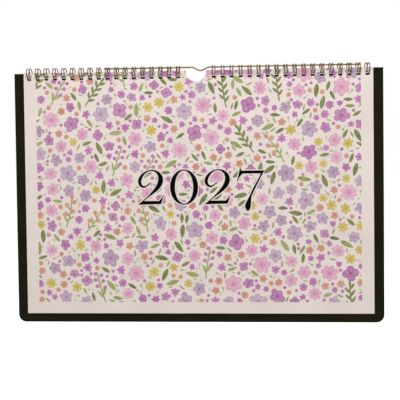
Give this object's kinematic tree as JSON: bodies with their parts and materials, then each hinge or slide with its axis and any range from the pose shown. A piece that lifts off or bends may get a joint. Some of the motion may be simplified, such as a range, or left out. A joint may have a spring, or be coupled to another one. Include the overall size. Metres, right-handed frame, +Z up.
{
  "type": "wall calendar",
  "caption": "Wire-bound landscape wall calendar with a floral cover, a black backing board, twin-loop wire and a hanging rod.",
  "frame": {"origin": "hollow of the hanger's bend, where a nail bears, on the plane through the loops' centres", "axes": "+Z up the calendar, +X to the viewer's right along the binding, +Y through the stack to the wall"},
  "size_m": [0.3516, 0.0098, 0.246],
  "materials": {
    "black_board": "matte",
    "page_paper": "matte",
    "cover_paper": "matte",
    "binding_wire": "satin",
    "hanger_wire": "satin",
    "ink_black": "matte",
    "ink_lilac": "matte",
    "ink_pink": "matte",
    "ink_violet": "matte",
    "ink_yellow": "matte",
    "ink_peach": "matte",
    "ink_green": "matte"
  },
  "bodies": {
    "back": {"back_board": "black_board", "wire_binding_left": "binding_wire", "wire_binding_right": "binding_wire"},
    "pages": {"page_block": "page_paper"},
    "cover": {"front_cover": "cover_paper", "year_numerals": "ink_black", "print_flowers_lilac": "ink_lilac", "print_flowers_pink": "ink_pink", "print_flowers_violet": "ink_violet", "print_flowers_yellow": "ink_yellow", "print_flowers_peach": "ink_peach", "print_leaves_green": "ink_green"},
    "hanging_rod": {"hanger": "hanger_wire"}
  },
  "joints": [
    {"name": "pages_turn", "type": "hinge", "parent": "back", "child": "pages", "pos_m": [-0.0044, 0, -0.00062], "axis": [-1, 0, 0], "range_deg": [0, 90]},
    {"name": "cover_turn", "type": "hinge", "parent": "pages", "child": "cover", "pos_m": [-0.0044, 0, -0.00062], "axis": [-1, 0, 0], "range_deg": [0, 90]},
    {"name": "hanger_turn", "type": "hinge", "parent": "back", "child": "hanging_rod", "pos_m": [0, 0, 0.00245], "axis": [1, 0, 0], "range_deg": [-180, 180]}
  ]
}
